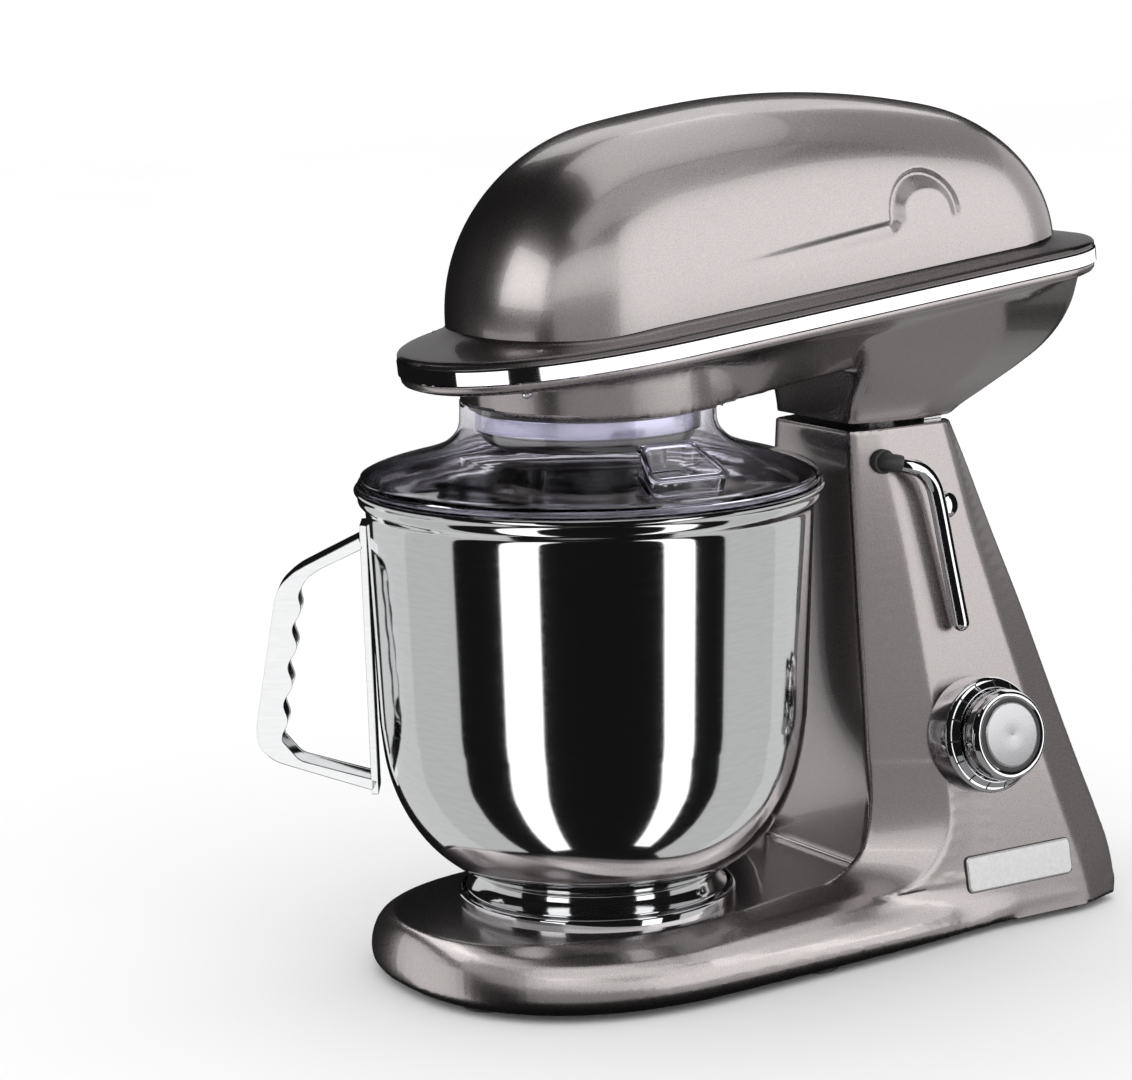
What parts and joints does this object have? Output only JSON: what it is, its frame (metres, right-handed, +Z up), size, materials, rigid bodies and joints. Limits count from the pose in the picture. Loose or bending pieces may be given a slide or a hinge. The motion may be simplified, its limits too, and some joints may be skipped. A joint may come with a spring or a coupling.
{
  "type": "stand mixer",
  "caption": "Tilt-head stand mixer with planetary drive, twist-lock steel bowl, clear splash lid, flat beater, release lever and speed knob.",
  "frame": {"origin": "centre of the overall footprint, on the surface the feet stand on", "axes": "+Z up, +Y from the front of the head towards the back of the column, +X towards the side with the lever and the speed knob"},
  "size_m": [0.238, 0.4457, 0.4396],
  "materials": {
    "paint": "satin metallic",
    "chrome": "polished",
    "polished_steel": "mirror polished",
    "brushed": "brushed",
    "steel": "machined",
    "clear_plastic": "clear",
    "black_plastic": "matte",
    "rubber": "matte",
    "aluminium": "polished cast",
    "laminations": "stacked sheet",
    "copper": "enamelled",
    "bronze": "sintered",
    "board": "coated",
    "grey_cast": "satin"
  },
  "bodies": {
    "stand": {"stand_shell": "paint", "base_plate": "black_plastic", "feet": "rubber", "stand_screws": "steel", "bowl_socket": "chrome", "column_hinge_bracket": "steel", "hinge_pin": "steel", "pin_clips": "steel", "latch_guide": "steel", "lever_stud": "chrome", "knob_escutcheon": "chrome", "speed_switch": "black_plastic", "side_plate": "brushed", "cord_gland": "black_plastic"},
    "bowl_group": {"bowl": "polished_steel", "bowl_foot": "polished_steel", "bowl_handle": "polished_steel"},
    "lid": {"splash_lid": "clear_plastic", "pour_chute": "clear_plastic"},
    "head": {"upper_shell": "paint", "trim_band": "chrome", "lower_shell": "paint", "rear_cover": "black_plastic", "head_screws": "steel", "gear_case_lower": "aluminium", "gear_case_upper": "aluminium", "ring_gear": "steel", "carrier_bearings": "steel", "idler_bearings": "steel", "stator_core": "laminations", "field_coils": "copper", "motor_lower_bracket": "aluminium", "motor_upper_bracket": "aluminium", "motor_bearings": "steel", "brush_gear": "black_plastic", "control_board": "board", "head_hinge_bracket": "aluminium", "hinge_bushes": "bronze", "latch_striker": "steel"},
    "lever": {"release_lever": "chrome"},
    "latch": {"latch_bolt": "steel"},
    "knob": {"speed_knob": "chrome", "knob_cap": "brushed", "knob_spindle": "steel"},
    "hub": {"hub_body": "grey_cast", "hub_ring": "chrome", "carrier_shaft": "steel", "tool_bushes": "bronze", "drive_gear": "steel"},
    "idler": {"idler_pinion": "steel", "idler_wheel": "steel"},
    "rotor": {"motor_shaft": "steel", "rotor_core": "laminations", "rotor_windings": "copper", "commutator": "copper", "cooling_fan": "black_plastic"},
    "tool": {"planet_gear": "steel", "tool_shaft": "polished_steel", "flat_beater": "aluminium"}
  },
  "joints": [
    {"name": "head_tilt", "type": "hinge", "parent": "stand", "child": "head", "pos_m": [0, 0.1312, 0.257], "axis": [-1, 0, 0], "range_deg": [0, 38]},
    {"name": "bowl_twist", "type": "hinge", "parent": "stand", "child": "bowl_group", "pos_m": [0, -0.071, 0.045], "axis": [0, 0, 1], "range_deg": [0, 32]},
    {"name": "lid_turn", "type": "hinge", "parent": "head", "child": "lid", "pos_m": [0, -0.071, 0.29], "axis": [0, 0, 1], "range_deg": [-30, 20]},
    {"name": "lever_swing", "type": "hinge", "parent": "stand", "child": "lever", "pos_m": [0, 0.084, 0.249], "axis": [1, 0, 0], "range_deg": [0, 55]},
    {"name": "latch_slide", "type": "slide", "parent": "stand", "child": "latch", "axis": [0, 1, 0], "range_m": [0, 0.0086]},
    {"name": "knob_turn", "type": "hinge", "parent": "stand", "child": "knob", "pos_m": [0.06725, 0.124, 0.103], "axis": [0.9842, 0, 0.1772], "range_deg": [-30, 240]},
    {"name": "hub_turn", "type": "hinge", "parent": "head", "child": "hub", "pos_m": [0, -0.071, 0.29], "axis": [0, 0, 1], "continuous": true},
    {"name": "idler_turn", "type": "hinge", "parent": "head", "child": "idler", "pos_m": [0, -0.0185, 0.325], "axis": [0, 0, 1], "continuous": true},
    {"name": "rotor_turn", "type": "hinge", "parent": "head", "child": "rotor", "pos_m": [0, 0.0115, 0.38], "axis": [0, 0, 1], "continuous": true},
    {"name": "tool_turn", "type": "hinge", "parent": "hub", "child": "tool", "pos_m": [0, -0.031, 0.29], "axis": [0, 0, 1], "continuous": true}
  ],
  "couplings": [
    {"joint": "latch_slide", "follows": "lever_swing", "m_per_rad": 0.00886},
    {"joint": "idler_turn", "follows": "hub_turn", "ratio": -4},
    {"joint": "rotor_turn", "follows": "hub_turn", "ratio": 16},
    {"joint": "tool_turn", "follows": "hub_turn", "ratio": -3.8571}
  ]
}
